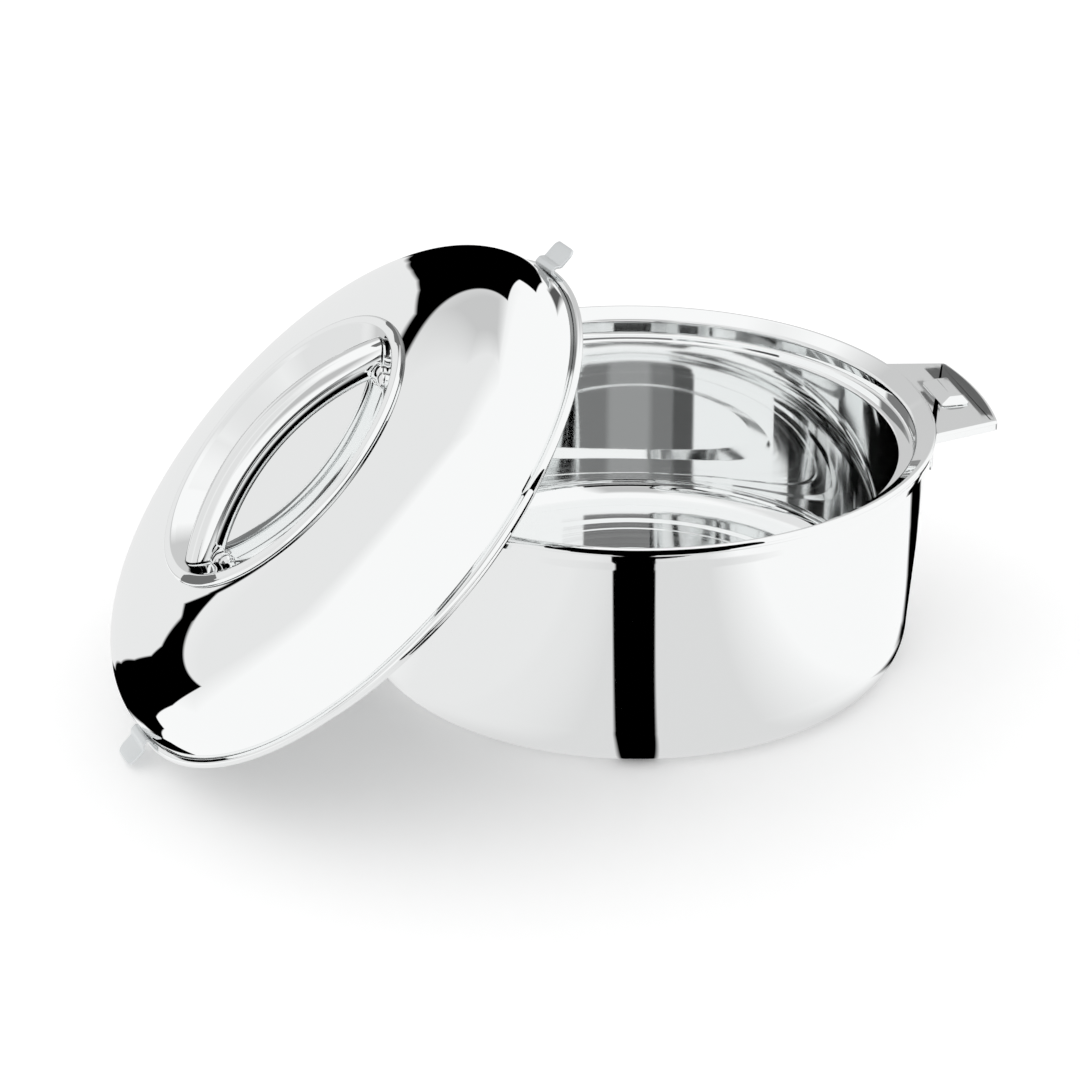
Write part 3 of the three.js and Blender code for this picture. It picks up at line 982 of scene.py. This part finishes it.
# What is seen after two reflections or more, above all from inside the pot
DEEPER_SCREENS = (
    (0.22, 3.0, ((22, 2), (126, 2), (126, 62), (22, 62))),
    (0.10, 3.0, ((22, 2), (40, 2), (40, 62), (22, 62))),
    (0.36, 6.0, ((60, 4), (98, 4), (98, 50), (60, 50))),
    (0.05, 2.0, ((-116, -95), (-72, -95), (-72, 9), (-116, 9))),
    (0.05, 1.0, ((-116, 20), (-72, 20), (-72, 28.5), (-116, 28.5))),
    (0.2, 1.0, ((-122, 27), (-82, 27), (-82, 34), (-122, 34))),
    (0.05, 5.0, ((-74, -95), (-48, -95), (-48, -14), (-74, -6))),
    (0.0, 2.0, ((126, 6), (126, -12), (143, -18), (158, -20), (158, -13), (148, 6))),
)
# The ray depth in the world from which a ray has been mirrored twice or more
DEEPER_FROM = 2.5

# The table round the bowl, its places in millimetres: grey in front, a black strip that the
# shell's wall mirrors upright, and a black card to the right. Its corners lie TABLE_HALF out,
# a little under the floor. Close to the bowl's foot, between the two radii of TABLE_SHADE,
# little light reaches it, and there the card carries a painted shadow of the bowl.
TABLE_HALF = 340
TABLE_UNDER = 1
TABLE_SHADE = (96.0, 122.0, 0.45)
TABLE_SCREENS = (
    (0.86, 60.0, ((-340, -330), (-100, -330), (-75, 0), (-200, 0))),
    (0.75, 60.0, ((-130, -330), (55, -330), (75, 0), (-75, 0))),
    (0.0, 2.0, ((-29, -90), (-128, -310), (-50, -320), (-16.5, -90))),
    (0.0, 6.0, ((95, -20), (98, -66), (124, -24), (118, 4))),
    (0.0, 8.0, ((105, 10), (116, -30), (150, 6), (137, 58))),
    (0.0, 9.0, ((120, 46), (134, -4), (192, 24), (202, 78))),
    (0.0, 10.0, ((178, 70), (168, 18), (300, 48), (300, 105))),
)
# The black card before the lip: its two feet in plan, and its lower and upper edge
LIP_CARD_FEET = ((-92, -128), (40, -155))
LIP_CARD_EDGES = (81.5, 152)
# The dark card over the right handle, this far above the plate, in pieces, each drawn where
# the plate shows it
HANDLE_CARD_RISE = 80
HANDLE_CARDS = (
    (0.13, ((132, 3), (138, -2.5), (147, -2.5), (147, 30), (140, 30), (139.5, 27), (132, 27.5))),
    (0.13, ((138, -2.5), (138, -24), (141, -24), (143.5, -29.5), (146, -22), (147, -2.5))),
    (0.13, ((122, 5), (121.5, -8), (123, -16), (124, -14), (124, 5))),
    (0.3, ((124.2, 15), (124.2, -7), (127, -7), (127, 15))),
)
# The card over the bar: its corners and height in the lid's frame, before the lid's spin, its
# tone, and its black screens in plan, behind and along the bar's two ends
BAR_CARD = ((-85, -72), (105, -72), (105, 130), (-85, 130))
BAR_CARD_HEIGHT = 89.5
BAR_CARD_TONE = 0.85
BAR_SCREENS = (
    (0.0, 24.0, ((-262, -98), (-120, -98), (-120, 45), (-262, 45))),
    (0.0, 24.0, ((-185, 44), (-262, 44), (-262, -160), (-225, -160), (-185, -98))),
    (0.0, 24.0, ((-165, -98), (-138, -150), (-120, -150), (-120, 44), (-165, 44))),
)
# Dark cards close to the two ends of the dish's ring: middle and two directions of the card,
# and its corners along them in millimetres
RING_CARD_TONE = 0.17
RING_CARDS = (
    (
        ((-105.8, -22.1, 163.8), (0.994, 0.107, 0), (0.037, -0.346, 0.938)),
        ((-5.7, 17), (-7.4, 0.6), (-6.3, -0.6), (-2.3, -1.4), (0.2, -4.3), (5.7, -5.7), (21.7, 5.7)),
    ),
    (
        ((-194.3, -52.4, 80), (0.827, 0.562, 0), (0.004, -0.006, 1)),
        ((-22.9, -17.1), (-5.7, -17.1), (1.8, -6.3), (4.1, -2.9), (2.9, 9.1), (0, 9.7), (-22.9, 2.3)),
    ),
)


def direction_angles(tree, direction):
    """The vector (azimuth, elevation, 1) of a direction, the angles in degrees: atan2(y, x)
    and asin(z)."""
    x, y, z = parts(tree, direction)
    azimuth = add_node(tree, "Math", {0: y, 1: x}, operation="ARCTAN2")
    elevation = add_node(tree, "Math", {0: z}, operation="ARCSINE")
    azimuth, elevation = (
        add_node(tree, "Math", {0: angle}, operation="DEGREES") for angle in (azimuth, elevation)
    )
    return add_node(tree, "CombineXYZ", {"X": azimuth, "Y": elevation, "Z": 1.0})


def plan_place(tree):
    """The vector (x, y, 1) of a place on a card, in millimetres."""
    place = add_node(tree, "TexCoord", output="Object")
    scale = {0: place, 1: (1 / MM, 1 / MM, 0)}
    grown = add_node(tree, "VectorMath", scale, operation="MULTIPLY")
    return add_node(tree, "VectorMath", {0: grown, 1: (0, 0, 1)}, operation="ADD")


def screen(tree, place, corners, soft):
    """How far a place lies inside a convex screen, its corners given anticlockwise: for each
    edge, the distance to its left over the softness, and the least of them. Half is on the
    edge, and the mix that takes it clamps it to 0 and 1."""
    inside = None
    for (x0, y0), (x1, y1) in zip(corners, corners[1:] + corners[:1]):
        width = math.hypot(x1 - x0, y1 - y0) * soft
        left, up = (y0 - y1) / width, (x1 - x0) / width
        side = {0: place, 1: (left, up, 0.5 - left * x0 - up * y0)}
        edge = add_node(tree, "VectorMath", side, "Value", operation="DOT_PRODUCT")
        if inside is None:
            inside = edge
        else:
            inside = add_node(tree, "Math", {0: inside, 1: edge}, operation="MINIMUM")
    return inside


def mixed(tree, factor, first, second):
    """Two tones mixed: the first where the factor is 0 and the second where it is 1."""
    tones = {"Factor": factor, "A": first, "B": second}
    return add_node(tree, "Mix", tones, "Result", data_type="FLOAT")


def with_screens(tree, place, level, screens):
    """The brightness of a room or card once its screens stand in it."""
    for tone, soft, corners in screens:
        level = mixed(tree, screen(tree, place, corners, soft), level, tone)
    return level


def build_world(scene):
    """White to the camera and to dull surfaces. Polished steel sees one of three rooms: the
    perfect mirror of the dome the first, other steel the second, and what has been mirrored
    twice the third."""
    world = bpy.data.worlds.new("studio")
    scene.world = world
    world.use_nodes = True
    world.cycles.sampling_method = "NONE"
    tree = world.node_tree
    angles = direction_angles(tree, add_node(tree, "TexCoord", output="Generated"))
    path = tree.nodes.new("ShaderNodeLightPath").outputs
    deep = {0: path["Ray Depth"], 1: DEEPER_FROM}
    deep = add_node(tree, "Math", deep, operation="GREATER_THAN")
    level = with_screens(tree, angles, 1.0, GREY_SCREENS)
    dome = with_screens(tree, angles, 1.0, DOME_SCREENS)
    level = mixed(tree, path["Is Singular Ray"], level, dome)
    deeper = with_screens(tree, angles, 1.0, DEEPER_SCREENS)
    level = mixed(tree, deep, level, deeper)
    level = mixed(tree, path["Is Glossy Ray"], 1.0, level)
    set_inputs(tree.nodes["Background"], {"Color": WHITE, "Strength": level})


def add_flat(name, corners, material):
    """A flat piece of the studio."""
    mesh = bpy.data.meshes.new(name)
    mesh.from_pydata(corners, [], [range(len(corners))])
    mesh.materials.append(material)
    flat = bpy.data.objects.new(name, mesh)
    bpy.context.scene.collection.objects.link(flat)
    return flat


def add_card(name, corners, tone, second=False):
    """A flat card that only reflections show, its corners in millimetres. The dome's perfect
    mirror looks through it. A second card is seen only by what is mirrored twice."""
    material = bpy.data.materials.new(name)
    material.use_nodes = True
    card = add_flat(name, np.array(corners) * MM, material)
    card.visible_camera = False
    card.visible_diffuse = False
    card.visible_shadow = False
    tree = material.node_tree
    tree.nodes.clear()
    path = tree.nodes.new("ShaderNodeLightPath").outputs
    if second:
        twice = {0: path["Ray Depth"], 1: 2.0, 2: 0.5}
        shown = add_node(tree, "Math", twice, operation="COMPARE")
    else:
        shown = add_node(tree, "Math", {0: 1.0, 1: path["Is Singular Ray"]}, operation="SUBTRACT")
    glow = add_node(tree, "Emission", {"Color": WHITE, "Strength": tone})
    shaders = {"Fac": shown, 1: add_node(tree, "BsdfTransparent"), 2: glow}
    output = tree.nodes.new("ShaderNodeOutputMaterial")
    set_inputs(output, {"Surface": add_node(tree, "MixShader", shaders)})
    return tree, glow.node


def square(half, height):
    """The corners of a level square over the origin."""
    return [(x * half, y * half, height) for x, y in ((-1, -1), (1, -1), (1, 1), (-1, 1))]


def table_card():
    """The table as the shell's wall mirrors it: white with its screens, and a painted shadow of
    the bowl close to its foot."""
    tree, glow = add_card("table_card", square(TABLE_HALF, -TABLE_UNDER), 1.0)
    place = plan_place(tree)
    radius = add_node(tree, "VectorMath", {0: place}, "Value", operation="LENGTH")
    # The card's glow is painted darker near the bowl's foot: a painted shadow of the bowl on the
    # table.
    inner, outer, dark = TABLE_SHADE
    painted_shadow_ramp = {"Value": radius, "From Min": inner, "From Max": outer, "To Min": dark, "To Max": 1.0}
    level = add_node(tree, "MapRange", painted_shadow_ramp, interpolation_type="SMOOTHSTEP")
    set_inputs(glow, {"Strength": with_screens(tree, place, level, TABLE_SCREENS)})


def lip_card():
    """A low black card before the lip, which its rolled edge mirrors as a black line."""
    (left, right), (low, high) = LIP_CARD_FEET, LIP_CARD_EDGES
    add_card("lip_card", [(*left, low), (*right, low), (*right, high), (*left, high)], 0.0)


def handle_cards():
    """Dark cards above the right handle. Each is set where the line from the camera's
    mirror image below the plate, through the card's place on the plate, reaches its height."""
    top = bpy.context.scene.casserole_handle.top / MM
    height = top + HANDLE_CARD_RISE
    eye_x, eye_y, eye_z = (v / MM for v in CAMERA_PLACE)
    under = 2 * top - eye_z
    grow = (height - under) / (top - under)
    for number, (tone, corners) in enumerate(HANDLE_CARDS):
        points = [
            (eye_x + (x - eye_x) * grow, eye_y + (y - eye_y) * grow, height) for x, y in corners
        ]
        add_card(f"handle_card_{number + 1}", points, tone)


def ring_cards():
    """The cards that make the two dark crescents on the dish's ring."""
    for number, (place, corners) in enumerate(RING_CARDS):
        middle, across, up = np.array(place)
        points = [middle + x * across + y * up for x, y in corners]
        add_card(f"ring_card_{number + 1}", points, RING_CARD_TONE)


def bar_card():
    """A card over the lid that is seen only in the bar's side, by way of the dish."""
    place = lid_place(0)
    corners = (Vector((x, y, BAR_CARD_HEIGHT)) * MM for x, y in BAR_CARD)
    tree, glow = add_card("bar_card", [place @ corner / MM for corner in corners], 0.0, second=True)
    level = with_screens(tree, plan_place(tree), BAR_CARD_TONE, BAR_SCREENS)
    set_inputs(glow, {"Strength": level})


def add_floor(half):
    """A white floor with the object's shadow, which no reflection shows."""
    material, tree, shader = new_material("floor_white", FLOOR_COLOUR, 0.0)
    add_flat("floor", square(half, 0), material).visible_glossy = False
    lift = {0: add_node(tree, "LightPath", output="Is Camera Ray"), 1: FLOOR_LIFT}
    lift = add_node(tree, "Math", lift, operation="MULTIPLY")
    set_inputs(shader, {"Roughness": 1.0, "Specular IOR Level": 0.0})
    set_inputs(shader, {"Emission Color": WHITE, "Emission Strength": lift})


def add_camera(scene, lens):
    """The camera, upright, where the photograph was taken from."""
    data = bpy.data.cameras.new("camera")
    data.lens = lens
    data.sensor_width = SENSOR_WIDTH
    data.clip_end = 100
    camera = bpy.data.objects.new("camera", data)
    scene.collection.objects.link(camera)
    forward, right = Vector(CAMERA_FORWARD).normalized(), Vector(CAMERA_RIGHT).normalized()
    right = (right - forward * right.dot(forward)).normalized()
    turn = Matrix((right, right.cross(forward), -forward)).transposed()
    camera.matrix_world = Matrix.Translation(CAMERA_PLACE) @ turn.to_4x4()
    scene.camera = camera


class Stage(bpy.types.Operator):
    """Builds the studio: floor, cards, room light and camera"""

    bl_idname = "casserole.stage"
    bl_label = "Studio"

    def execute(self, context):
        """The studio's pieces in turn."""
        scene = context.scene
        size = scene.casserole_studio
        add_floor(size.floor_width / 2)
        table_card()
        lip_card()
        handle_cards()
        ring_cards()
        bar_card()
        build_world(scene)
        add_camera(scene, size.lens)
        scene.view_settings.view_transform = "Standard"
        return {"FINISHED"}


class CasserolePanel(bpy.types.Panel):
    """Lists the casserole's operators and sizes in the sidebar."""

    bl_idname = "VIEW3D_PT_casserole"
    bl_label = "Insulated casserole"
    bl_space_type = "VIEW_3D"
    bl_region_type = "UI"
    bl_category = "Casserole"

    def draw(self, context):
        """One button for each piece, then the sizes and finishes."""
        layout = self.layout
        for operator in OPERATORS:
            layout.operator(operator.bl_idname)
        for name in GROUPS:
            group = getattr(context.scene, name)
            layout.separator()
            for key in group.__annotations__:
                layout.prop(group, key)


GROUPS = {
    "casserole_bowl": BowlSizes,
    "casserole_handle": HandleSizes,
    "casserole_lid": LidSizes,
    "casserole_finishes": Finishes,
    "casserole_studio": StudioSizes,
}
BOWL_PIECES = (OuterShell, InnerPot, BasePlug, Handles, Catches)
LID_PIECES = (LidDome, LidDish, LidLiner, LidPlug, GrabBar, Ears)
OPERATORS = (*BOWL_PIECES, *LID_PIECES, Foams, Stage)


def register():
    """Registers the classes and hangs the properties on the scene."""
    for kind in (*GROUPS.values(), *OPERATORS, CasserolePanel):
        bpy.utils.register_class(kind)
    for name, group in GROUPS.items():
        setattr(bpy.types.Scene, name, PointerProperty(type=group))


def unregister():
    """Takes them off again."""
    for name in GROUPS:
        delattr(bpy.types.Scene, name)
    for kind in (CasserolePanel, *OPERATORS[::-1], *GROUPS.values()):
        bpy.utils.unregister_class(kind)


def main():
    """Builds every piece and the studio."""
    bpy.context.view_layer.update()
    register()
    for operator in OPERATORS:
        group, name = operator.bl_idname.split(".")
        getattr(getattr(bpy.ops, group), name)()


if __name__ == "__main__":
    main()
